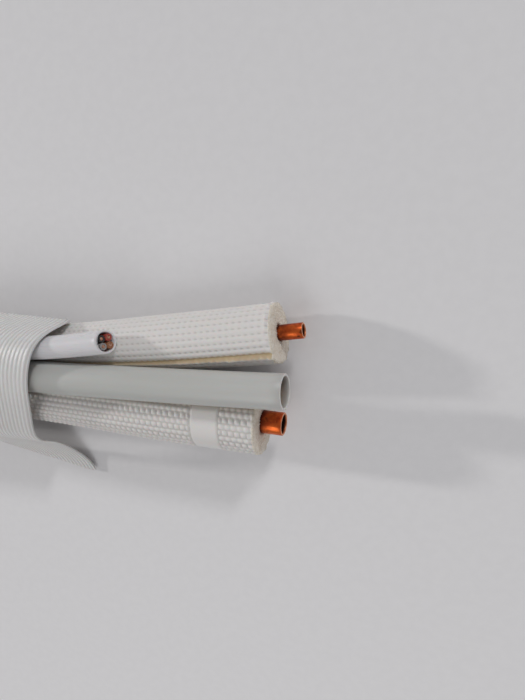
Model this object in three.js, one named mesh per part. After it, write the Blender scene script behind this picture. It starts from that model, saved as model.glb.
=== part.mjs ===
// A wrapped line set for a split air conditioner: two insulated copper tubes, a drain pipe and a
// connecting cable, bound together with ribbed tape. The bundle lies along X on its tape, and
// its pieces stand free of the tape at both ends. Millimetres, +Z up.
import * as THREE from 'three';

// Lengths along the bundle. What stands back or ahead is measured from the drain pipe's end.
const pipeLength = 1000;
const exposedLength = 125;
const liquidTubeAhead = 3;
const suctionTubeBack = 4.4;
const liquidStickOut = 10;
const suctionStickOut = 9;
const cableBack = 76;

// Copper tubes, drain pipe and foam sleeves.
const liquidTubeOuter = 6.35;
const liquidTubeWall = 0.76;
const suctionTubeOuter = 9.525;
const suctionTubeWall = 0.81;
const pipeOuter = 14;
const pipeWall = 1;
const foamWall = 8.7;
const tubeInFoamClearance = 0.3;
const touchGap = 0.3;

// The tape squeezes the foam, which swells back over a ramp beside it.
const foamSqueeze = 1.5;
const squeezeRamp = 75;

// The suction tube runs straight. The others swing aside from it at the bundle's free ends.
const liquidSplay = 15.6;
const pipeSplay = 5;
const splayPower = 1.35;

// Open seam of the liquid tube's sleeve, with a lip that stands off toward the free end.
const seamAngle = 120;
const seamWidth = 0.7;
const lipSpan = 40;
const lipLift = 2.2;
const lipStart = 30;
const foamEndSkew = 0.2;

// Cable with four cores.
const cableOuter = 10;
const cableWall = 0.9;
const coreOuter = 3.1;
const conductorOuter = 1.4;
const coreGap = 0.15;
const cableRoll = 7;
const cableCutSlant = 18;

// Tape, wound in one strip, each turn lapping the one before. The last turn is loose, and its
// end curls out over the ground.
const tapeWidth = 48;
const tapeThickness = 0.5;
const tapeLayerGap = 0.3;
const tapePitchNear = 26;
const lastEdgeBack = 10;
const tapeArcStep = 30;
const looseLift = 4;
const looseFrontLift = 14;
const looseBackAdvance = 43;
const looseTopAdvance = 25;
const looseFrontAdvance = 10;
const tailSlant = 30;
const tailRise = 1;
const tailTipWidth = 5;
const tailTaperFrom = 0.6;
const tailAdvance = 16;
const tailSteps = 7;

const tubeSides = 24;
const smallTubeSides = 8;
const freeEndSteps = 6;

const copper = { color: 0xb5562c, roughness: 0.38, metalness: 1 };
const strandCopper = { color: 0xc77650, roughness: 0.35, metalness: 1 };
const foam = { color: 0xe9e4de, roughness: 0.75, metalness: 0 };
const pipePlastic = { color: 0xb9bbb5, roughness: 0.42, metalness: 0 };
const sheathPlastic = { color: 0xdedcdf, roughness: 0.4, metalness: 0 };
const tapePlastic = { color: 0xe2dfdc, roughness: 0.45, metalness: 0 };
const corePlastics = [
  { color: 0x23201f, roughness: 0.5, metalness: 0 },
  { color: 0x8d8a88, roughness: 0.5, metalness: 0 },
  { color: 0x7a4a2b, roughness: 0.5, metalness: 0 },
  { color: 0x8e2f2c, roughness: 0.5, metalness: 0 },
];

const halfPipe = pipeLength / 2;
const wrapHalf = halfPipe - exposedLength;
const pipeRadius = pipeOuter / 2;
const cableRadius = cableOuter / 2;
const liquidBore = liquidTubeOuter / 2 + tubeInFoamClearance;
const suctionBore = suctionTubeOuter / 2 + tubeInFoamClearance;
const liquidFoam = liquidBore + foamWall;
const suctionFoam = suctionBore + foamWall;
const liquidWrapped = liquidFoam - foamSqueeze;
const suctionWrapped = suctionFoam - foamSqueeze;

const radians = (angle) => (angle * Math.PI) / 180;
const clamp01 = (value) => Math.min(1, Math.max(0, value));
const ease = (value) => clamp01(value) ** 2 * (3 - 2 * clamp01(value));
const polar = (angle, radius) => new THREE.Vector2(Math.cos(angle), Math.sin(angle)).multiplyScalar(radius);
const fullTurn = 2 * Math.PI;
const withinTurn = (angle) => ((angle % fullTurn) + fullTurn) % fullTurn;

// The wrapped section, in the Y-Z plane.

// Centre of a circle that rests on circles a and b, to the left of the line from a to b.
function seatOnTwo(a, radiusA, b, radiusB, radius) {
  const fromA = radiusA + radius + touchGap;
  const fromB = radiusB + radius + touchGap;
  const span = a.distanceTo(b);
  const along = (fromA * fromA - fromB * fromB + span * span) / (2 * span);
  const up = Math.sqrt(fromA * fromA - along * along);
  const toward = b.clone().sub(a).divideScalar(span);
  const left = new THREE.Vector2(-toward.y, toward.x);
  return a.clone().addScaledVector(toward, along).addScaledVector(left, up);
}

// Both sleeves lie on the ground side, the pipe in the valley between them, and the cable in
// the valley between the pipe and the liquid tube's sleeve.
const sleeveSpan = liquidWrapped + suctionWrapped + touchGap;
const sleeveDrop = suctionWrapped - liquidWrapped;
const suctionCentre = new THREE.Vector2(0, suctionWrapped);
const liquidCentre = new THREE.Vector2(Math.sqrt(sleeveSpan ** 2 - sleeveDrop ** 2), liquidWrapped);
const pipeCentre = seatOnTwo(suctionCentre, suctionWrapped, liquidCentre, liquidWrapped, pipeRadius);
const cableCentre = seatOnTwo(pipeCentre, pipeRadius, liquidCentre, liquidWrapped, cableRadius);

// Routes along X.

// Distance past the wrapped stretch, the same at both ends.
const past = (x) => Math.max(0, Math.abs(x) - wrapHalf);
const splay = (x, reach) => reach * (past(x) / exposedLength) ** splayPower;
const swelling = (x) => foamSqueeze * ease(past(x) / squeezeRamp);

const liquidRoute = (x) => new THREE.Vector2(liquidCentre.x + splay(x, liquidSplay), liquidCentre.y);
const pipeRoute = (x) => new THREE.Vector2(pipeCentre.x + splay(x, pipeSplay), pipeCentre.y);
const suctionRoute = () => suctionCentre.clone();

// The cable lies on the liquid tube's sleeve and rolls a little down its far side.
const cableSeat = Math.atan2(cableCentre.y - liquidCentre.y, cableCentre.x - liquidCentre.x);
function cableRoute(x) {
  const freeLength = exposedLength - cableBack;
  const roll = radians(cableRoll) * (past(x) / freeLength) ** splayPower;
  const reach = liquidWrapped + swelling(x) + cableRadius + touchGap;
  return liquidRoute(x).add(polar(cableSeat - roll, reach));
}

// Stations run straight through the wrapped stretch and are closer where the routes bend.
function stationsTo(end) {
  const free = [];
  for (let i = 0; i <= freeEndSteps; i += 1) {
    free.push(wrapHalf + ((end - wrapHalf) * i) / freeEndSteps);
  }
  return [...free.map((x) => -x).reverse(), ...free];
}

// Unit vectors across the route at x: the first lies level, the second points up.
function frameAt(route, x) {
  const step = 0.5;
  const slope = route(x + step).sub(route(x - step)).divideScalar(2 * step);
  const ahead = new THREE.Vector3(1, slope.x, slope.y).normalize();
  const side = new THREE.Vector3(-ahead.y, ahead.x, 0).normalize();
  return { side, up: new THREE.Vector3().crossVectors(ahead, side) };
}

// Bodies.

// Extrudes a section and sets each of its layers where place() says.
function sweep(section, layers, place) {
  const steps = layers.length - 1;
  const geometry = new THREE.ExtrudeGeometry(section, { depth: steps, steps, bevelEnabled: false });
  const position = geometry.attributes.position;
  for (let i = 0; i < position.count; i += 1) {
    const layer = layers[Math.round(position.getZ(i))];
    const point = place(position.getX(i), position.getY(i), layer);
    position.setXYZ(i, point.x, point.y, point.z);
  }
  geometry.computeVertexNormals();
  return geometry;
}

// Sweeps a section along a route. shape(point, x) may change a section point at a station, and
// shift(point, x) moves it along the bundle.
function sweepRoute(section, route, end, { shape, shift } = {}) {
  return sweep(section, stationsTo(end), (across, height, x) => {
    const point = new THREE.Vector2(across, height);
    const shaped = shape ? shape(point, x) : point;
    const { side, up } = frameAt(route, x);
    const centre = route(x);
    const ahead = shift ? shift(shaped, x, end) : 0;
    return new THREE.Vector3(x + ahead, centre.x, centre.y)
      .addScaledVector(side, shaped.x)
      .addScaledVector(up, shaped.y);
  });
}

function ringPoints(radius, sides, from = 0, turn = fullTurn) {
  const points = [];
  const count = turn === fullTurn ? sides : sides + 1;
  for (let i = 0; i < count; i += 1) {
    points.push(polar(from + (turn * i) / sides, radius));
  }
  return points;
}

function ring(outer, inner, sides) {
  const section = new THREE.Shape(ringPoints(outer, sides));
  section.holes.push(new THREE.Path(ringPoints(inner, sides)));
  return section;
}

// A ring with a narrow slit through its wall.
function slitRing(outer, inner, sides, angle, width) {
  const outerHalf = Math.asin(width / 2 / outer);
  const innerHalf = Math.asin(width / 2 / inner);
  const outerArc = ringPoints(outer, sides, angle + outerHalf, 2 * (Math.PI - outerHalf));
  const innerArc = ringPoints(inner, sides, angle + innerHalf, 2 * (Math.PI - innerHalf));
  return new THREE.Shape([...outerArc, ...innerArc.reverse()]);
}

// Foam under the tape is squeezed, the more the farther it lies from its bore.
function squeezed(point, x, bore) {
  const radius = point.length();
  const pressed = (foamSqueeze - swelling(x)) * ((radius - bore) / foamWall);
  return point.clone().setLength(radius - pressed);
}

// The lip beside the open seam stands off, highest at the seam.
function lipped(point, x) {
  const beyond = Math.atan2(point.y, point.x) - radians(seamAngle);
  const near = beyond >= 0 ? clamp01(1 - beyond / radians(lipSpan)) : 0;
  const grown = clamp01((past(x) - lipStart) / (exposedLength - lipStart));
  const share = clamp01((point.length() - liquidBore) / foamWall);
  return point.clone().setLength(point.length() + lipLift * near * grown * share);
}

const isFreeEnd = (x, end) => Math.abs(Math.abs(x) - end) < 1e-6;

function liquidSleeve() {
  const section = slitRing(liquidFoam, liquidBore, tubeSides, radians(seamAngle), seamWidth);
  return sweepRoute(section, liquidRoute, halfPipe + liquidTubeAhead - liquidStickOut, {
    shape: (point, x) => lipped(squeezed(point, x, liquidBore), x),
    shift: (point, x, end) => (x > 0 && isFreeEnd(x, end) ? -foamEndSkew * point.x : 0),
  });
}

function suctionSleeve() {
  const section = ring(suctionFoam, suctionBore, tubeSides);
  return sweepRoute(section, suctionRoute, halfPipe - suctionTubeBack - suctionStickOut, {
    shape: (point, x) => squeezed(point, x, suctionBore),
  });
}

// Cable.

const cableEnd = halfPipe - cableBack;
const coreOffset = (coreOuter + coreGap) / Math.SQRT2;

// The cable is cut on a slant that faces up.
const cutSlant = (point, x, end) =>
  isFreeEnd(x, end) ? -Math.sign(x) * Math.tan(radians(cableCutSlant)) * point.y : 0;

// Moves a section off the cable's axis before the cable's route places it.
function offAxis(section, offset) {
  const shape = (point) => point.clone().add(offset);
  return sweepRoute(section, cableRoute, cableEnd, { shape, shift: cutSlant });
}

// Tape.

// The band around the wrapped section is the outline of its four circles. Each corner holds
// the circle that it bends round, the direction it faces, and how much a corner stands out.
const bandCircles = [
  { centre: liquidCentre, radius: liquidWrapped },
  { centre: cableCentre, radius: cableRadius },
  { centre: pipeCentre, radius: pipeRadius },
  { centre: suctionCentre, radius: suctionWrapped },
];

// Direction that the straight stretch from circle a to circle b faces.
function facing(a, b) {
  const toward = b.centre.clone().sub(a.centre);
  return Math.atan2(toward.y, toward.x) - Math.acos((a.radius - b.radius) / toward.length());
}

function bandCorners(arcStep) {
  const corners = [];
  bandCircles.forEach((circle, i) => {
    const before = bandCircles[(i + bandCircles.length - 1) % bandCircles.length];
    const after = bandCircles[(i + 1) % bandCircles.length];
    const from = withinTurn(facing(before, circle));
    const turn = withinTurn(facing(circle, after) - from);
    const count = Math.ceil(turn / radians(arcStep));
    for (let k = 0; k < count; k += 1) {
      corners.push({
        centre: circle.centre,
        radius: circle.radius + touchGap,
        angle: from + (turn * (k + 0.5)) / count,
        stretch: 1 / Math.cos(turn / count / 2),
      });
    }
  });
  return corners;
}

const cornerPoint = (corner, lift) =>
  corner.centre.clone().add(polar(corner.angle, (corner.radius + lift) * corner.stretch));

// Share of a full turn that the band has gone by each corner.
function turnShares(corners) {
  const points = corners.map((corner) => cornerPoint(corner, 0));
  const lengths = points.map((point, i) => point.distanceTo(points[(i + 1) % points.length]));
  const total = lengths.reduce((sum, length) => sum + length, 0);
  let gone = 0;
  return lengths.map((length) => {
    const share = gone / total;
    gone += length;
    return share;
  });
}

// A strip layer: where its front edge is along X, how wide it is, and how its inner face sits.
function bandLayer(corner, edge, lift) {
  return { edge, width: tapeWidth, at: (out) => cornerPoint(corner, lift + out) };
}

// The free end: from beside the bundle it flattens out over the ground and narrows to a tip.
function tailLayers(start, edge) {
  const layers = [];
  const from = Math.PI - radians(tailSlant);
  const bend = (start.y - tailRise) / (1 - Math.sin(from));
  const centre = start.clone().sub(polar(from, -bend));
  for (let i = 1; i <= tailSteps; i += 1) {
    const share = i / tailSteps;
    const angle = from + (Math.PI / 2 - from) * share;
    const base = centre.clone().add(polar(angle, -bend));
    const taper = clamp01((share - tailTaperFrom) / (1 - tailTaperFrom));
    layers.push({
      edge: edge + tailAdvance * ease(share),
      width: tapeWidth + (tailTipWidth - tapeWidth) * taper,
      at: (rise) => base.clone().add(polar(angle, rise)),
    });
  }
  return layers;
}

// Tight turns run from the first edge to the last, as near the wanted pitch as whole turns allow.
const firstEdge = tapeWidth - wrapHalf;
const lastEdge = wrapHalf - lastEdgeBack;
const tightTurns = Math.round((lastEdge - firstEdge) / tapePitchNear);
const tapePitch = (lastEdge - firstEdge) / tightTurns;

// How far the loose turn's edge runs ahead: most behind the bundle, less over it, least in front.
function looseAdvance(share) {
  const behind = looseBackAdvance * ease(share / 0.16);
  const over = (looseBackAdvance - looseTopAdvance) * ease((share - 0.16) / 0.2);
  const before = (looseTopAdvance - looseFrontAdvance) * ease((share - 0.45) / 0.25);
  return behind - over - before;
}

function tapeLayers() {
  const corners = bandCorners(tapeArcStep);
  const shares = turnShares(corners);
  const layers = [];
  for (let turn = 0; turn < tightTurns; turn += 1) {
    corners.forEach((corner, i) => {
      layers.push(bandLayer(corner, firstEdge + tapePitch * (turn + shares[i]), 0));
    });
  }
  const side = Math.PI;
  corners.forEach((corner, i) => {
    if (corner.angle > side + radians(tapeArcStep) / 2 && corner.centre === suctionCentre) {
      return;
    }
    const front = ease((shares[i] - 0.5) / 0.25);
    const lift = looseLift * ease(shares[i] / 0.16) + (looseFrontLift - looseLift) * front;
    layers.push(bandLayer(corner, lastEdge + looseAdvance(shares[i]), lift));
  });
  const last = layers[layers.length - 1];
  layers.push(...tailLayers(last.at(0), last.edge));
  return layers;
}

// Across the strip, its inner face rises away from its front edge by one lap per pitch.
const tapeRise = (tapeThickness + tapeLayerGap) / tapePitch;

function tapeStrip() {
  const section = new THREE.Shape([
    new THREE.Vector2(-1, 0),
    new THREE.Vector2(0, 0),
    new THREE.Vector2(0, tapeThickness),
    new THREE.Vector2(-1, tapeThickness),
  ]);
  return sweep(section, tapeLayers(), (across, out, layer) => {
    const back = -across * layer.width;
    const point = layer.at(out + back * tapeRise);
    return new THREE.Vector3(layer.edge - back, point.x, point.y);
  });
}

// Assembly.

const bundle = new THREE.Group();

function add(name, geometry, look) {
  const mesh = new THREE.Mesh(geometry, new THREE.MeshStandardMaterial(look));
  mesh.name = name;
  bundle.add(mesh);
}

const liquidSection = ring(liquidTubeOuter / 2, liquidTubeOuter / 2 - liquidTubeWall, tubeSides / 2);
const suctionSection = ring(suctionTubeOuter / 2, suctionTubeOuter / 2 - suctionTubeWall, tubeSides);
const pipeSection = ring(pipeRadius, pipeRadius - pipeWall, tubeSides);
const sheathSection = ring(cableRadius, cableRadius - cableWall, tubeSides / 2);
const coreSection = ring(coreOuter / 2, conductorOuter / 2 + coreGap, smallTubeSides);
const conductorSection = new THREE.Shape(ringPoints(conductorOuter / 2, smallTubeSides));

add('liquid_tube', sweepRoute(liquidSection, liquidRoute, halfPipe + liquidTubeAhead), copper);
add('suction_tube', sweepRoute(suctionSection, suctionRoute, halfPipe - suctionTubeBack), copper);
add('liquid_tube_sleeve', liquidSleeve(), foam);
add('suction_tube_sleeve', suctionSleeve(), foam);
add('drain_pipe', sweepRoute(pipeSection, pipeRoute, halfPipe), pipePlastic);
add('cable_sheath', sweepRoute(sheathSection, cableRoute, cableEnd, { shift: cutSlant }), sheathPlastic);
corePlastics.forEach((look, i) => {
  const offset = polar(Math.PI / 4 + (i * Math.PI) / 2, coreOffset);
  add(`core_insulation_${i + 1}`, offAxis(coreSection, offset), look);
  add(`core_conductor_${i + 1}`, offAxis(conductorSection, offset), strandCopper);
});
add('wrap_tape', tapeStrip(), tapePlastic);

// The origin is on the ground under the middle of the bundle.
const box = new THREE.Box3().setFromObject(bundle);
const middle = box.getCenter(new THREE.Vector3());
bundle.position.set(-middle.x, -middle.y, -box.min.z);

const lineSet = new THREE.Group();
lineSet.add(bundle);

export default lineSet;
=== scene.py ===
# Looks for a wrapped line set: two foam-covered copper tubes, a drain pipe and a cable in ribbed tape.
import math
import bmesh
import bpy
from mathutils import Matrix, Vector, noise


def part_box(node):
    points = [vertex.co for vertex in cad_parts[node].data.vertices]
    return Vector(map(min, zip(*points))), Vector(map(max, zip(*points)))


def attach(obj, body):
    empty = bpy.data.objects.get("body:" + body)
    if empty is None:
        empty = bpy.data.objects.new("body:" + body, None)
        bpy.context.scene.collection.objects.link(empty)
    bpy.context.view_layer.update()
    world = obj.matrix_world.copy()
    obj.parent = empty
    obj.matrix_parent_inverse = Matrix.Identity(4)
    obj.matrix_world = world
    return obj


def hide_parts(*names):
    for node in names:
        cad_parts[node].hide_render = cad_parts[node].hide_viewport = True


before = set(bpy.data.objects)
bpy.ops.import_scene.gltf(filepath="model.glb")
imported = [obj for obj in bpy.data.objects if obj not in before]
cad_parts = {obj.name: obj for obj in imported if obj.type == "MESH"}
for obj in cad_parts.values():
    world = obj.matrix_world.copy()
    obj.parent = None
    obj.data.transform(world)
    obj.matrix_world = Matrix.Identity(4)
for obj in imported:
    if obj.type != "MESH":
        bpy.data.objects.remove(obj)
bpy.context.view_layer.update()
print("frame loaded", len(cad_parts), "nodes")

mm = 0.001
tubeLow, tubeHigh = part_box("suction_tube")
axisY = (tubeLow.y + tubeHigh.y) / 2 / mm  # everything is set out from the suction tube's straight axis
axisZ = (tubeLow.z + tubeHigh.z) / 2 / mm

bundle = {
    "pipeLength": 1000, "exposed": 125, "liquidAhead": 3, "suctionBack": 4.4,
    "liquidStickOut": 10, "suctionStickOut": 9, "cableBack": 76,
    "liquidRadius": 3.175, "liquidWall": 0.76, "suctionRadius": 4.7625, "suctionWall": 0.81,
    "pipeRadius": 7, "pipeWall": 1, "foamWall": 8.7, "boreGap": 0.3, "touch": 0.3,
    "squeeze": 1.5, "squeezeRamp": 75, "liquidSplay": 15.6, "pipeSplay": 5, "splayPower": 1.35,
    "cableRadius": 5, "cableWall": 0.9, "cableRoll": 7, "cableCutSlant": 18,
}
halfPipe = bundle["pipeLength"] / 2
wrapHalf = halfPipe - bundle["exposed"]
liquidBore = bundle["liquidRadius"] + bundle["boreGap"]
suctionBore = bundle["suctionRadius"] + bundle["boreGap"]
liquidFoam = liquidBore + bundle["foamWall"]
suctionFoam = suctionBore + bundle["foamWall"]
liquidWrapped = liquidFoam - bundle["squeeze"]
suctionWrapped = suctionFoam - bundle["squeeze"]
cableEnd = halfPipe - bundle["cableBack"]


def clamp01(value):
    return min(1.0, max(0.0, value))


def ease(value):
    t = clamp01(value)
    return t * t * (3 - 2 * t)


def polar(angle, radius):
    return Vector((math.cos(angle) * radius, math.sin(angle) * radius))


def seatOnTwo(a, radiusA, b, radiusB, radius):  # where a circle rests on circles a and b
    fromA = radiusA + radius + bundle["touch"]
    fromB = radiusB + radius + bundle["touch"]
    span = (b - a).length
    along = (fromA ** 2 - fromB ** 2 + span ** 2) / (2 * span)
    toward = (b - a) / span
    return a + toward * along + Vector((-toward.y, toward.x)) * math.sqrt(fromA ** 2 - along ** 2)


suctionCentre = Vector((axisY, axisZ))
sleeveSpan = liquidWrapped + suctionWrapped + bundle["touch"]
sleeveDrop = suctionWrapped - liquidWrapped
liquidCentre = suctionCentre + Vector((math.sqrt(sleeveSpan ** 2 - sleeveDrop ** 2), -sleeveDrop))
pipeCentre = seatOnTwo(suctionCentre, suctionWrapped, liquidCentre, liquidWrapped, bundle["pipeRadius"])
cableCentre = seatOnTwo(pipeCentre, bundle["pipeRadius"], liquidCentre, liquidWrapped, bundle["cableRadius"])
cableSeat = math.atan2(cableCentre.y - liquidCentre.y, cableCentre.x - liquidCentre.x)


def past(x):  # how far a place lies beyond the wrapped stretch
    return max(0.0, abs(x) - wrapHalf)


def splay(x, reach):
    return reach * (past(x) / bundle["exposed"]) ** bundle["splayPower"]


def swelling(x):
    return bundle["squeeze"] * ease(past(x) / bundle["squeezeRamp"])


def liquidRoute(x):
    return liquidCentre + Vector((splay(x, bundle["liquidSplay"]), 0))


def suctionRoute(x):
    return suctionCentre.copy()


def pipeRoute(x):
    return pipeCentre + Vector((splay(x, bundle["pipeSplay"]), 0))


def cableRoute(x):
    freeLength = bundle["exposed"] - bundle["cableBack"]
    roll = math.radians(bundle["cableRoll"]) * (past(x) / freeLength) ** bundle["splayPower"]
    reach = liquidWrapped + swelling(x) + bundle["cableRadius"] + bundle["touch"]
    return liquidRoute(x) + polar(cableSeat - roll, reach)


def routePoint(route, x, across, height):  # a point of a section that stands square to its route
    slope = route(x + 0.5) - route(x - 0.5)
    ahead = Vector((1, slope.x, slope.y)).normalized()
    side = Vector((-ahead.y, ahead.x, 0)).normalized()
    up = ahead.cross(side)
    centre = route(x)
    return (Vector((x, centre.x, centre.y)) + side * across + up * height) * mm


class Value:  # a socket that takes part in arithmetic
    def __init__(self, paint, socket):
        self.paint = paint
        self.socket = socket

    def maths(self, operation, *inputs):
        return self.paint.node("ShaderNodeMath", {"operation": operation}, inputs)

    def __add__(self, other):
        return self.maths("ADD", self, other)

    def __radd__(self, other):
        return self.maths("ADD", other, self)

    def __mul__(self, other):
        return self.maths("MULTIPLY", self, other)

    def __rmul__(self, other):
        return self.maths("MULTIPLY", other, self)

    def wave(self, length):  # 0 to 1 and back over each length
        return self.maths("SINE", self * (2 * math.pi / length)) * 0.5 + 0.5


class Paint:  # one material and its nodes
    def __init__(self, name):
        self.material = bpy.data.materials.new(name)
        self.material.use_nodes = True
        self.tree = self.material.node_tree
        self.shader = self.tree.nodes["Principled BSDF"]

    def node(self, kind, settings=None, sockets=None, out=0):
        made = self.tree.nodes.new(kind)
        for key, value in (settings or {}).items():
            setattr(made, key, value)
        pairs = sockets.items() if isinstance(sockets, dict) else enumerate(sockets or [])
        for key, value in pairs:
            self.feed(made.inputs[key], value)
        return Value(self, made.outputs[out])

    def feed(self, socket, value):
        if isinstance(value, Value):
            self.tree.links.new(value.socket, socket)
        elif isinstance(value, (tuple, list)) and len(value) == 3 and socket.type == "RGBA":
            socket.default_value = (*value, 1)
        else:
            socket.default_value = value

    def place(self, scale=(1, 1, 1)):
        coords = self.node("ShaderNodeTexCoord", out=3)
        return self.node("ShaderNodeMapping", {}, {"Vector": coords, "Scale": scale})

    def noise(self, scale, detail=3, rough=0.5, stretch=(1, 1, 1)):
        return self.node("ShaderNodeTexNoise", {}, {
            "Vector": self.place(stretch), "Scale": scale, "Detail": detail, "Roughness": rough})

    def attribute(self, name):
        return self.node("ShaderNodeAttribute", {"attribute_name": name}, out=2)

    def mix(self, factor, a, b):
        return self.node("ShaderNodeMix", {"data_type": "RGBA"}, {0: factor, 6: a, 7: b}, out=2)

    def step(self, value, low, high):  # 0 below low, 1 above high
        return self.node("ShaderNodeMapRange", {"interpolation_type": "SMOOTHSTEP"}, {
            "Value": value, "From Min": low, "From Max": high})

    def bump(self, height, strength, distance, normal=None):
        sockets = {"Height": height, "Strength": strength, "Distance": distance}
        if normal:
            sockets["Normal"] = normal
        return self.node("ShaderNodeBump", {}, sockets)

    def finish(self, **sockets):
        for key, value in sockets.items():
            name = {"color": "Base Color", "sss": "Subsurface Weight",
                    "sssScale": "Subsurface Scale"}.get(key, key.capitalize())
            self.feed(self.shader.inputs[name], value)
        return self.material


def copperPaint():
    paint = Paint("drawnCopper")
    # The last colour is near-black painted shade for deep inside the bore.
    look = {"bright": (0.74, 0.15, 0.028), "dull": (0.42, 0.055, 0.012), "stain": (0.05, 0.012, 0.008),
            "cut": (0.86, 0.42, 0.24), "boreShade": (0.018, 0.007, 0.005)}
    drawLines = paint.noise(900, 2, 0.6, (0.15, 1, 1))
    blotches = paint.noise(190, 4, 0.62)
    spots = paint.step(paint.noise(330, 3, 0.55), 0.58, 0.72)
    tone = paint.mix(paint.step(blotches, 0.35, 0.68), look["bright"], look["dull"])
    stained = paint.mix(spots * 0.75, tone, look["stain"])
    stained = paint.mix(paint.attribute("root") * paint.step(blotches, 0.25, 0.6), stained, look["stain"])
    freshCut = paint.mix(paint.attribute("cutEdge"), stained, look["cut"])
    # Painted shade: the bore darkens towards near black the deeper it goes.
    boreShadeAmount = paint.attribute("boreShade")
    color = paint.mix(boreShadeAmount, freshCut, look["boreShade"])
    rough = paint.step(blotches, 0.3, 0.75) * 0.22 + 0.3
    return paint.finish(color=color, metallic=0.85, roughness=rough + boreShadeAmount * 0.3,
                        normal=paint.bump(drawLines, 0.35, 0.0002))


def foamSkinPaint():
    paint = Paint("embossedFoamSkin")
    # Two of these colours are painted shade: a darker one for the emboss grooves and a warm tan for contact
    # shadow along the pipe and in the seam.
    look = {"top": (0.78, 0.755, 0.73), "grooveShade": (0.64, 0.61, 0.575), "tan": (0.60, 0.44, 0.24),
            "handled": (0.70, 0.665, 0.62)}
    height = paint.attribute("emboss")
    broad = paint.noise(28, 2, 0.5)
    fine = paint.noise(1500, 3, 0.6)
    # Painted shade: the emboss grooves get a darker colour than the raised tops.
    tone = paint.mix(paint.step(height, 0.05, 0.75), look["grooveShade"], look["top"])
    # Painted shade: the tan attribute mixes in a warm shade colour for the contact shadow and the seam's
    # slit.
    withPaintedShade = paint.mix(paint.attribute("tan"), tone, look["tan"])
    color = paint.mix(paint.step(broad, 0.35, 0.8) * 0.18, withPaintedShade, look["handled"])
    return paint.finish(color=color, roughness=paint.step(fine, 0.3, 0.7) * 0.16 + 0.46, sss=0.12,
                        sssScale=0.002, normal=paint.bump(fine, 0.25, 0.00015))


def foamCutPaint():
    paint = Paint("cutFoam")
    look = {"pale": (0.93, 0.86, 0.74), "dark": (0.80, 0.70, 0.55), "cell": (0.95, 0.91, 0.84)}
    cells = paint.node("ShaderNodeTexVoronoi", {}, {"Vector": paint.place(), "Scale": 1400})
    rag = paint.noise(420, 4, 0.65)
    tone = paint.mix(paint.step(rag, 0.3, 0.72), look["pale"], look["dark"])
    color = paint.mix(paint.step(cells, 0.35, 0.75) * 0.5, tone, look["cell"])
    rough = paint.step(rag, 0.2, 0.8) * 0.15 + 0.75
    return paint.finish(color=color, roughness=rough, normal=paint.bump(cells + rag, 0.7, 0.0006))


def pipePaint():
    paint = Paint("drainPipePlastic")
    # The last colour is a brown-black painted shade for deep inside the bore.
    look = {"dark": (0.50, 0.505, 0.475), "pale": (0.55, 0.55, 0.525), "cut": (0.74, 0.73, 0.70),
            "boreShade": (0.22, 0.15, 0.095)}
    broad = paint.noise(22, 3, 0.5, (0.3, 1, 1))
    scuffs = paint.noise(700, 2, 0.6, (0.05, 1, 1))
    tone = paint.mix(paint.step(broad, 0.35, 0.7), look["dark"], look["pale"])
    rim = paint.mix(paint.attribute("cutEdge"), tone, look["cut"])
    # Painted shade: the bore darkens towards brown-black the deeper it goes.
    color = paint.mix(paint.attribute("boreShade"), rim, look["boreShade"])
    return paint.finish(color=color, roughness=paint.step(scuffs, 0.3, 0.8) * 0.12 + 0.34, sss=0.1,
                        sssScale=0.003, normal=paint.bump(scuffs, 0.08, 0.0002))


def sheathPaint():
    paint = Paint("cableSheathPlastic")
    broad = paint.noise(60, 3, 0.5, (0.4, 1, 1))
    scuffs = paint.noise(900, 2, 0.6, (0.1, 1, 1))
    tone = paint.mix(paint.step(broad, 0.35, 0.7), (0.73, 0.715, 0.73), (0.78, 0.765, 0.775))
    return paint.finish(color=tone, roughness=paint.step(scuffs, 0.3, 0.8) * 0.12 + 0.26, sss=0.08,
                        sssScale=0.002, normal=paint.bump(broad, 0.12, 0.0008))


def corePaint(name, color):
    paint = Paint(name)
    grain = paint.noise(1400, 3, 0.6)
    worn = tuple(min(1, c * 1.8 + 0.03) for c in color)
    tone = paint.mix(paint.step(grain, 0.45, 0.75) * 0.6, color, worn)
    return paint.finish(color=tone, roughness=paint.step(grain, 0.3, 0.7) * 0.2 + 0.4,
                        normal=paint.bump(grain, 0.4, 0.0003))


def strandPaint():
    paint = Paint("cutCopperStrands")
    strands = paint.node("ShaderNodeTexVoronoi", {}, {"Vector": paint.place((0.15, 1, 1)), "Scale": 3200})
    tone = paint.mix(paint.step(strands, 0.25, 0.6), (0.92, 0.60, 0.46), (0.42, 0.17, 0.10))
    return paint.finish(color=tone, metallic=0.7, roughness=paint.step(strands, 0.2, 0.7) * 0.3 + 0.3,
                        normal=paint.bump(strands, 0.8, 0.0003))


def tapePaint():
    paint = Paint("ribbedTape")
    # The last colour is painted shade for the valleys between the ribs.
    look = {"ribSpacing": 2.1, "dark": (0.78, 0.765, 0.75), "pale": (0.83, 0.815, 0.805),
            "grooveShade": (0.66, 0.64, 0.615)}
    ribs = paint.attribute("across").wave(look["ribSpacing"])
    broad = paint.noise(35, 3, 0.55)
    fine = paint.noise(1100, 2, 0.5)
    tone = paint.mix(paint.step(broad, 0.35, 0.7), look["dark"], look["pale"])
    # Painted shade: the valleys between the ribs get a darker colour.
    color = paint.mix(paint.step(ribs, 0.0, 0.7), look["grooveShade"], tone)
    waves = paint.bump(broad, 0.15, 0.0012)
    return paint.finish(color=color, roughness=paint.step(fine, 0.3, 0.8) * 0.15 + 0.34, sss=0.1,
                        sssScale=0.002, normal=paint.bump(ribs, 0.9, 0.0004, waves))


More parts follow.
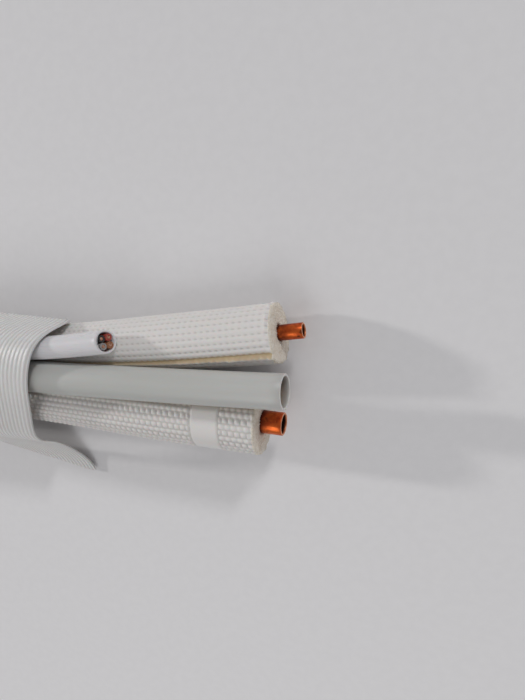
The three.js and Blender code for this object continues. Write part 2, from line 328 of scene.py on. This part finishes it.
def finishPiece(name, mesh, materials, node):
    data = bpy.data.meshes.new(name)
    mesh.to_mesh(data)
    mesh.free()
    piece = bpy.data.objects.new(name, data)
    bpy.context.collection.objects.link(piece)
    for material in materials:
        data.materials.append(material)
    for polygon in data.polygons:
        polygon.use_smooth = True
    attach(piece, "root")
    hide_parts(node)
    print("made", name, len(data.polygons), "faces")


# A flat sheet, the column and row of each of its corners, and a layer for each named attribute.
def gridPiece(columns, rows, *attributes):
    mesh = bmesh.new()
    layers = [mesh.verts.layers.float.new(name) for name in attributes]
    bmesh.ops.create_grid(mesh, x_segments=columns, y_segments=rows, size=0.5)
    places = {}
    for vert in mesh.verts:
        places[vert] = (round((vert.co.x + 0.5) * columns), round((vert.co.y + 0.5) * rows))
    return mesh, places, layers


def spread(start, stop, count):
    return [start + (stop - start) * i / count for i in range(count + 1)]


tubeLook = {
    "lip": 0.25, "lipOfWall": 0.3, "innerLip": 0.6, "stations": 26, "depths": (1, 3, 10, 40),
    "mouthDepth": 0.5, "mouthEdge": 0.4, "slantReach": 1, "rootReach": 1.5, "rootRise": 1.3,
}


# A tube with rounded cut edges. Its bore gets painted shade over the length dark, and slant tips its end
# faces.
def smoothTube(name, route, outer, inner, end, materials, node,
               slant=0.0, sides=48, stickOut=0, dark=4):
    lip = min(tubeLook["lip"], (outer - inner) * tubeLook["lipOfWall"])
    ends = spread(wrapHalf, end - lip, tubeLook["stations"])
    skin = [-x for x in reversed(ends)] + ends
    rim = [(outer - lip, 1, 0), (inner + lip * tubeLook["innerLip"], 1, 0)]
    bore = []
    for x in [end - lip, *(end - depth for depth in tubeLook["depths"]), wrapHalf]:
        mouth = tubeLook["mouthEdge"] if x > end - tubeLook["mouthDepth"] else 0
        # The last value is the amount of painted shade in the bore, growing over the length dark.
        bore.append((x, inner, mouth, clamp01((end - x) / dark)))
    rows = [(x, outer, 0, 0) for x in skin]
    rows += [(end, *edge) for edge in rim]
    rows += bore + [(-x, *rest) for x, *rest in reversed(bore)]
    rows += [(-end, *edge) for edge in reversed(rim)]
    mesh, places, (cutEdge, boreShade, root) = gridPiece(len(rows), sides, "cutEdge", "boreShade", "root")
    for vert, (column, row) in places.items():
        x, radius, edge, boreShadeAmount = rows[column % len(rows)]
        point = polar(2 * math.pi * (row % sides) / sides, radius)
        shift = -math.copysign(slant, x) * point.y if abs(x) > end - tubeLook["slantReach"] else 0
        vert.co = routePoint(route, x, point.x, point.y) + Vector((shift * mm, 0, 0))
        vert[cutEdge] = edge
        vert[boreShade] = boreShadeAmount
        if stickOut and radius == outer:
            vert[root] = clamp01(tubeLook["rootRise"] - (abs(x) - end + stickOut) / tubeLook["rootReach"])
    bmesh.ops.remove_doubles(mesh, verts=mesh.verts, dist=1e-7)
    bmesh.ops.recalc_face_normals(mesh, faces=mesh.faces)
    finishPiece(name, mesh, materials, node)


liquidEnd = halfPipe + bundle["liquidAhead"]
suctionEnd = halfPipe - bundle["suctionBack"]
copper = copperPaint()
smoothTube("liquidTube", liquidRoute, bundle["liquidRadius"], bundle["liquidRadius"] - bundle["liquidWall"],
           liquidEnd, [copper], "liquid_tube", stickOut=bundle["liquidStickOut"], dark=1)
smoothTube("suctionTube", suctionRoute, bundle["suctionRadius"],
           bundle["suctionRadius"] - bundle["suctionWall"], suctionEnd, [copper], "suction_tube",
           stickOut=bundle["suctionStickOut"], dark=1)
smoothTube("drainPipe", pipeRoute, bundle["pipeRadius"], bundle["pipeRadius"] - bundle["pipeWall"],
           halfPipe, [pipePaint()], "drain_pipe", sides=72)
smoothTube("cableSheath", cableRoute, bundle["cableRadius"], bundle["cableRadius"] - bundle["cableWall"],
           cableEnd, [sheathPaint()], "cable_sheath",
           slant=math.tan(math.radians(bundle["cableCutSlant"])))

foamLook = {
    "pitch": 2.65, "height": 0.6, "steps": 5, "underTape": 0.6, "intoTape": 6,
    "crest": 1.1, "roundness": 0.7, "dashLeast": 0.22, "dashCross": 0.16,
    # The seam settings include the strength of the painted shade in its slit.
    "seamAngle": 120, "seamWidth": 3, "seamDepth": 0.5, "seamFrom": 4, "seamShade": 1.4,
    "lipSpan": 40, "lipLift": 2.2, "lipStart": 30, "lipTear": 0.9, "tearAlong": 0.7, "tearAround": 9,
    "bandFrom": 459, "bandTo": 472, "bandLine": 0.7, "bandLow": 0.1, "bandTop": 0.8,
    # The next two set the width and the fading of the painted contact shadow along the pipe.
    "contactSpan": 13, "contactReach": 90,
    "faceShares": (0.97, 0.85, 0.7, 0.5, 0.3, 0.15, 0.0), "faceTear": 0.7, "edgeTear": 2,
}


def crest(t):
    return clamp01(abs(math.sin(math.pi * t)) * foamLook["crest"])


def pillows(along, around):  # round bumps, each row set half a step on from the next
    shifted = along + 0.5 * (math.floor(around) % 2)
    return (crest(shifted) * crest(around)) ** foamLook["roundness"]


def dashes(along, around):  # long ridges with a row of short dents between them
    least = foamLook["dashLeast"]
    dent = least + (1 - least) * math.sin(math.pi * along) ** 2
    return clamp01(1 - (1 - crest(around)) * dent - foamLook["dashCross"] * (1 - crest(along)))


def smoothBand(x, raised):  # a plain ring between two fine lines
    low, high = foamLook["bandFrom"], foamLook["bandTo"]
    if low < x < high:
        return foamLook["bandLow"] if min(x - low, high - x) < foamLook["bandLine"] else foamLook["bandTop"]
    return raised


def lipRise(x, angle, share):  # how far the lip beside the open seam stands off
    beyond = math.degrees(angle) - foamLook["seamAngle"]
    near = clamp01(1 - beyond / foamLook["lipSpan"]) if beyond >= 0 else 0
    grown = clamp01((past(x) - foamLook["lipStart"]) / (bundle["exposed"] - foamLook["lipStart"]))
    ragged = noise.noise(Vector((x * foamLook["tearAlong"], angle * foamLook["tearAround"], 3)))
    return (foamLook["lipLift"] + foamLook["lipTear"] * ragged * grown) * near * grown * share


def contactShade(route, x, angle):  # the painted contact shadow, a warm strip where a sleeve lies against the pipe
    toPipe = pipeRoute(x) - route(x)
    off = (angle - math.atan2(toPipe.y, toPipe.x) + math.pi) % (2 * math.pi) - math.pi
    return math.exp(-(math.degrees(off) / foamLook["contactSpan"]) ** 2)


def sleeveRows(end):  # stations along the skin, then over each cut face and through the bore
    step = foamLook["pitch"] / foamLook["steps"]
    count = math.ceil((end - wrapHalf + foamLook["intoTape"]) / foamLook["pitch"]) * foamLook["steps"]
    ends = [end - k * step for k in range(count, 0, -1)]
    rows = [(x, 1.0, True) for x in [-x for x in reversed(ends)] + ends]
    rows += [(end, share, False) for share in foamLook["faceShares"]]
    rows += [(wrapHalf, 0.0, False), (-wrapHalf, 0.0, False)]
    return rows + [(-end, share, False) for share in reversed(foamLook["faceShares"])]


# A foam sleeve whose skin is raised by relief; with a seam it's slit along one side.
def foamSleeve(name, route, foam, bore, end, node, seam, relief):
    around = 2 * round(math.pi * foam / foamLook["pitch"])
    sides = around * foamLook["steps"]
    rows = sleeveRows(end)
    mesh, places, (height, tan) = gridPiece(len(rows), sides, "emboss", "tan")
    kinds = {}
    for vert, (column, row) in places.items():
        x, share, isSkin = rows[column % len(rows)]
        turn = (row % sides) / sides
        angle = 2 * math.pi * turn
        free = past(x)
        radius = bore + (foam - bore) * share - (bundle["squeeze"] - swelling(x)) * share
        if isSkin:
            raised = foamLook["underTape"]
            if free > 0:
                raised = relief((end - abs(x)) / foamLook["pitch"], turn * around)
            if not seam:
                raised = smoothBand(abs(x), raised)
            apart = clamp01(free / foamLook["contactReach"]) if seam else 0
            # Painted shade: a warm contact shadow where the sleeve lies against the pipe, fading where it
            # splays away.
            vert[tan] = contactShade(route, x, angle) * (1 - apart)
            vert[height] = raised
            radius += foamLook["height"] * (raised - 1)
        if seam:
            slit = abs(math.degrees(angle) - foamLook["seamAngle"] + 1) / foamLook["seamWidth"]
            # Painted shade: the seam's slit gets the warm tan shade, strongest at its middle.
            seamShaded = max(vert[tan], clamp01(foamLook["seamShade"] - slit))
            vert[tan] = seamShaded if free > foamLook["seamFrom"] else 0
            radius += lipRise(x, angle, share) - foamLook["seamDepth"] * clamp01(1 - slit) * isSkin
        if share > 0.9 and abs(x) > end - foamLook["edgeTear"]:
            radius += foamLook["faceTear"] * noise.noise(Vector((angle * 7, x, 1.5)))
        point = polar(angle, radius)
        rough = 0 if isSkin else foamLook["faceTear"] * noise.noise(Vector((angle * 4, share * 6, x * 0.01)))
        vert.co = routePoint(route, x, point.x, point.y) + Vector((math.copysign(rough, x) * mm, 0, 0))
        kinds[vert] = isSkin
    for face in mesh.faces:
        face.material_index = 0 if sum(kinds[vert] for vert in face.verts) >= 3 else 1
    bmesh.ops.remove_doubles(mesh, verts=mesh.verts, dist=1e-7)
    bmesh.ops.recalc_face_normals(mesh, faces=mesh.faces)
    finishPiece(name, mesh, [foamSkin, foamCut], node)


foamSkin = foamSkinPaint()
foamCut = foamCutPaint()
foamSleeve("liquidSleeve", liquidRoute, liquidFoam, liquidBore, liquidEnd - bundle["liquidStickOut"],
           "liquid_tube_sleeve", True, dashes)
foamSleeve("suctionSleeve", suctionRoute, suctionFoam, suctionBore, suctionEnd - bundle["suctionStickOut"],
           "suction_tube_sleeve", False, pillows)

coreColors = {
    "blackCore": (0.02, 0.018, 0.018), "greyCore": (0.30, 0.28, 0.27),
    "brownCore": (0.30, 0.12, 0.055), "redCore": (0.34, 0.05, 0.035),
}
strands = strandPaint()
for number, (coreName, color) in enumerate(coreColors.items(), 1):
    for kind, material in (("insulation", corePaint(coreName, color)), ("conductor", strands)):
        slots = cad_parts[f"core_{kind}_{number}"].data.materials
        slots.clear()
        slots.append(material)

tape = {
    "width": 48, "thickness": 0.5, "layerGap": 0.3, "pitchNear": 26, "lastEdgeBack": 10, "arcStep": 9,
    "looseLift": 4, "looseFrontLift": 14, "looseBack": 37, "looseTop": 25, "looseFront": 10,
    "behindShare": 0.16, "topShare": 0.2, "frontFrom": 0.45, "liftFrom": 0.5, "frontShare": 0.25,
    "tailSlant": 30, "tailRise": 1, "tailTip": 5, "taperFrom": 0.6, "tailAdvance": 16, "tailSteps": 28,
    "across": 16, "spineStep": 2, "smoothings": 30, "sink": 0.02, "thinner": 0.06,
}
bandCircles = [(liquidCentre, liquidWrapped), (cableCentre, bundle["cableRadius"]),
               (pipeCentre, bundle["pipeRadius"]), (suctionCentre, suctionWrapped)]


def facing(a, b):  # direction that the straight stretch from circle a to circle b faces
    toward = b[0] - a[0]
    return math.atan2(toward.y, toward.x) - math.acos((a[1] - b[1]) / toward.length)


def bandCorners():
    corners = []
    fullTurn = 2 * math.pi
    for i, circle in enumerate(bandCircles):
        begin = facing(bandCircles[i - 1], circle) % fullTurn
        turn = (facing(circle, bandCircles[(i + 1) % 4]) - begin) % fullTurn
        count = math.ceil(turn / math.radians(tape["arcStep"]))
        for k in range(count):
            corners.append((circle[0], circle[1] + bundle["touch"], begin + turn * (k + 0.5) / count,
                            1 / math.cos(turn / count / 2)))
    return corners


def cornerPoint(corner, lift):
    centre, radius, angle, stretch = corner
    return centre + polar(angle, (radius + lift) * stretch)


def turnShares(corners):
    points = [cornerPoint(corner, 0) for corner in corners]
    lengths = [(points[(i + 1) % len(points)] - point).length for i, point in enumerate(points)]
    shares, gone = [], 0
    for length in lengths:
        shares.append(gone / sum(lengths))
        gone += length
    return shares


def looseAdvance(share):  # how far the loose turn's edge runs ahead: most behind, least in front
    behind = tape["looseBack"] * ease(share / tape["behindShare"])
    over = (tape["looseBack"] - tape["looseTop"]) * ease((share - tape["behindShare"]) / tape["topShare"])
    before = (tape["looseTop"] - tape["looseFront"]) * ease((share - tape["frontFrom"]) / tape["frontShare"])
    return behind - over - before


def looseLift(share):
    front = ease((share - tape["liftFrom"]) / tape["frontShare"])
    return (tape["looseLift"] * ease(share / tape["behindShare"])
            + (tape["looseFrontLift"] - tape["looseLift"]) * front)


def bandLayer(corner, edge, lift):
    return edge, tape["width"], lambda out: cornerPoint(corner, lift + out)


def tailLayers(start, edge):  # the free end flattens out over the ground and narrows to a tip
    begin = math.pi - math.radians(tape["tailSlant"])
    bend = (start.y - tape["tailRise"]) / (1 - math.sin(begin))
    centre = start - polar(begin, -bend)
    layers = []
    for i in range(1, tape["tailSteps"] + 1):
        share = i / tape["tailSteps"]
        angle = begin + (math.pi / 2 - begin) * share
        base = centre + polar(angle, -bend)
        taper = clamp01((share - tape["taperFrom"]) / (1 - tape["taperFrom"]))
        width = tape["width"] + (tape["tailTip"] - tape["width"]) * taper
        layers.append((edge + tape["tailAdvance"] * ease(share), width,
                       lambda rise, base=base, angle=angle: base + polar(angle, rise)))
    return layers


def tapeLayers():  # tight turns, then the loose turn and the tail
    corners = bandCorners()
    shares = turnShares(corners)
    firstEdge = tape["width"] - wrapHalf
    lastEdge = wrapHalf - tape["lastEdgeBack"]
    turns = round((lastEdge - firstEdge) / tape["pitchNear"])
    pitch = (lastEdge - firstEdge) / turns
    layers = [bandLayer(corner, firstEdge + pitch * (turn + share), 0)
              for turn in range(turns) for corner, share in zip(corners, shares)]
    tight = len(layers)
    lowest = math.pi + math.radians(tape["arcStep"])
    for corner, share in zip(corners, shares):
        if corner[2] <= lowest or corner[0] != suctionCentre:
            layers.append(bandLayer(corner, lastEdge + looseAdvance(share), looseLift(share)))
    edge, _, at = layers[-1]
    return layers + tailLayers(at(0), edge), pitch, tight


def smoothLoose(layers, tight):  # evens out the loose turn and the tail into one easy curve
    spine = []
    for edge, width, at in layers[tight - 1:]:
        here = Vector((edge, at(0).x, at(0).y, width))
        if spine:
            count = max(1, math.ceil((here.yz - spine[-1].yz).length / tape["spineStep"]))
            before = spine[-1]
            spine += [before.lerp(here, (k + 1) / count) for k in range(count)]
        else:
            spine.append(here)
    for _ in range(tape["smoothings"]):
        inner = [(a + b * 2 + c) / 4 for a, b, c in zip(spine, spine[1:], spine[2:])]
        spine = [spine[0], *inner, spine[-1]]
    loose = []
    for i in range(1, len(spine)):
        ahead = (spine[min(i + 1, len(spine) - 1)].yz - spine[i - 1].yz).normalized()
        outward = Vector((ahead.y, -ahead.x))
        x, y, z, width = spine[i]
        loose.append((x, width, lambda out, base=Vector((y, z)), outward=outward: base + outward * out))
    return layers[:tight] + loose


def makeTape():
    layers, pitch, tight = tapeLayers()
    layers = smoothLoose(layers, tight)
    rise = (tape["thickness"] + tape["layerGap"]) / pitch
    mesh, places, (across,) = gridPiece(len(layers) - 1, tape["across"], "across")
    for vert, (column, row) in places.items():
        edge, width, at = layers[column]
        back = width * row / tape["across"]
        point = at(tape["thickness"] - tape["sink"] + back * rise)
        vert.co = Vector((edge - back, point.x, point.y)) * mm
        vert[across] = back
    bmesh.ops.recalc_face_normals(mesh, faces=mesh.faces)
    outward = sum(face.normal.z * (face.calc_center_median().z - axisZ * mm) > 0 for face in mesh.faces)
    if outward < len(mesh.faces) / 2:
        bmesh.ops.reverse_faces(mesh, faces=mesh.faces)
    bmesh.ops.solidify(mesh, geom=mesh.faces[:], thickness=(tape["thickness"] - tape["thinner"]) * mm)
    finishPiece("wrapTape", mesh, [tapePaint()], "wrap_tape")


makeTape()
print("materials done")

view = {
    "fromPipeEnd": (51.54, 83.71, 191.35),  # from the drain pipe's end and the suction tube's axis
    "right": (0.94736, -0.00677, -0.32011),
    "down": (0.07526, -0.96705, 0.2432),
    "ahead": (-0.31121, -0.25449, -0.91563),
    "lens": 27.0,
}


def makeCamera():
    data = bpy.data.cameras.new("photoView")
    data.sensor_width = 36
    data.lens = view["lens"]
    camera = bpy.data.objects.new("photoView", data)
    bpy.context.collection.objects.link(camera)
    right, down, ahead = (Vector(view[key]) for key in ("right", "down", "ahead"))
    turn = Matrix((right, -down, -ahead)).transposed().to_4x4()
    x, y, z = view["fromPipeEnd"]
    place = Vector(((halfPipe + x) * mm, (axisY + y) * mm, (axisZ + z) * mm))
    camera.matrix_world = Matrix.Translation(place) @ turn
    bpy.context.scene.camera = camera


ground = {"half": 12, "below": 0.5, "dark": (0.775, 0.765, 0.77), "pale": (0.79, 0.78, 0.785)}


def makeFloor():
    paint = Paint("paleFloor")
    grain = paint.noise(240, 3, 0.5)
    tone = paint.mix(paint.step(grain, 0.3, 0.7), ground["dark"], ground["pale"])
    material = paint.finish(color=tone, roughness=0.7, normal=paint.bump(grain, 0.1, 0.0004))
    mesh = bmesh.new()
    bmesh.ops.create_grid(mesh, x_segments=4, y_segments=4, size=ground["half"])
    bmesh.ops.translate(mesh, verts=mesh.verts, vec=(0, 0, -ground["below"] * mm))
    data = bpy.data.meshes.new("floor")
    mesh.to_mesh(data)
    mesh.free()
    data.materials.append(material)
    floor = bpy.data.objects.new("floor", data)
    bpy.context.collection.objects.link(floor)


lighting = {
    "world": ((0.97, 0.97, 1.0, 1), 0.31),
    "windowLight": {"kind": "SUN", "place": (-4.2, 1.0, 1.57), "aim": (0.49, 0.02, 0.02),
                    "angle": math.radians(3.6), "energy": 0.98, "color": (1.0, 0.985, 0.97)},
    "roomLight": {"kind": "SUN", "place": (1.84, 2.95, 1.72), "aim": (0.47, 0, 0.02),
                  "angle": math.radians(7.8), "energy": 0.85, "color": (0.98, 0.985, 1.0)},
    "softLight": {"kind": "AREA", "place": (0.35, -1.5, 1.9), "aim": (0.4, -0.1, 0),
                  "size": 1.6, "energy": 14, "color": (1.0, 1.0, 1.0)},
}


def addLight(name, kind, place, aim, **settings):
    data = bpy.data.lights.new(name, kind)
    for key, value in settings.items():
        setattr(data, key, value)
    lamp = bpy.data.objects.new(name, data)
    bpy.context.collection.objects.link(lamp)
    lamp.location = place
    lamp.rotation_mode = "QUATERNION"
    lamp.rotation_quaternion = (Vector(aim) - Vector(place)).to_track_quat("-Z", "Y")


def makeLight():
    world = bpy.data.worlds.new("room")
    world.use_nodes = True
    background = world.node_tree.nodes["Background"]
    sky, strength = lighting["world"]
    background.inputs["Color"].default_value = sky
    background.inputs["Strength"].default_value = strength
    bpy.context.scene.world = world
    for name in ("windowLight", "roomLight", "softLight"):
        addLight(name, **lighting[name])
    bpy.context.scene.view_settings.view_transform = "Standard"


makeCamera()
makeFloor()
makeLight()
print("stage done")
